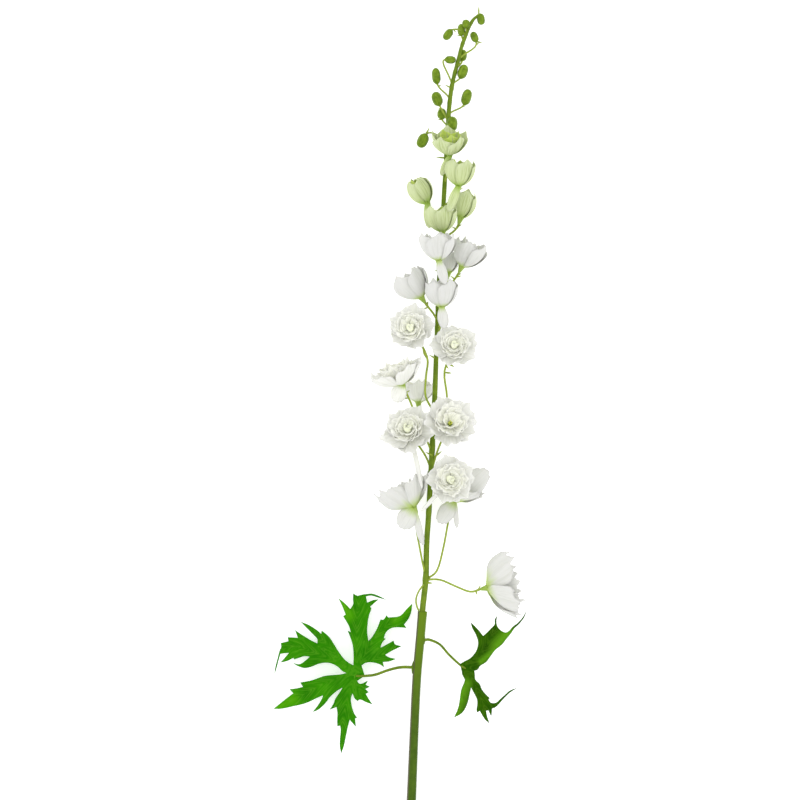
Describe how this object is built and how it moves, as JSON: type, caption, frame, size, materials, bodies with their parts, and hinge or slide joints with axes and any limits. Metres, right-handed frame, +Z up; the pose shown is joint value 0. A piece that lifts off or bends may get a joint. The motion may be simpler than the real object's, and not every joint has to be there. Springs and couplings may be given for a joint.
{
  "type": "delphinium stem",
  "caption": "White delphinium stem with green buds at the tip, pale half-open cups, double white blooms and cut leaves, lying down.",
  "frame": {"origin": "middle of the stem's bounding box in plan, at the level of the surface that it lies on", "axes": "+Y from the cut end towards the tip, +X to the right of the stem, +Z up from the surface"},
  "size_m": [0.2546, 0.8447, 0.0797],
  "materials": {
    "white_petal": "thin, soft and slightly see-through",
    "pale_green_petal": "thin, soft and slightly see-through",
    "rod_green": "matt, like a plant stem",
    "stalk_green": "matt, like a plant stem",
    "leaf_green": "matt leaf with pale ribs",
    "dark_leaf_green": "matt leaf in shade"
  },
  "bodies": {
    "root": {"stem_lower": "stalk_green", "stem_upper": "rod_green", "leaf_left": "leaf_green", "leaf_right": "dark_leaf_green", "bloom_1": "white_petal", "bloom_2": "white_petal", "bloom_3": "white_petal", "bloom_4": "white_petal", "bloom_5": "white_petal", "bloom_6": "white_petal", "bloom_7": "white_petal", "bloom_8": "white_petal", "bloom_9": "white_petal", "bloom_10": "white_petal", "cup_1": "white_petal", "cup_2": "white_petal", "cup_3": "white_petal", "cup_4": "white_petal", "cup_5": "white_petal", "green_cup_1": "pale_green_petal", "green_cup_2": "pale_green_petal", "green_cup_3": "pale_green_petal", "green_cup_4": "pale_green_petal", "green_cup_5": "pale_green_petal"}
  },
  "joints": []
}
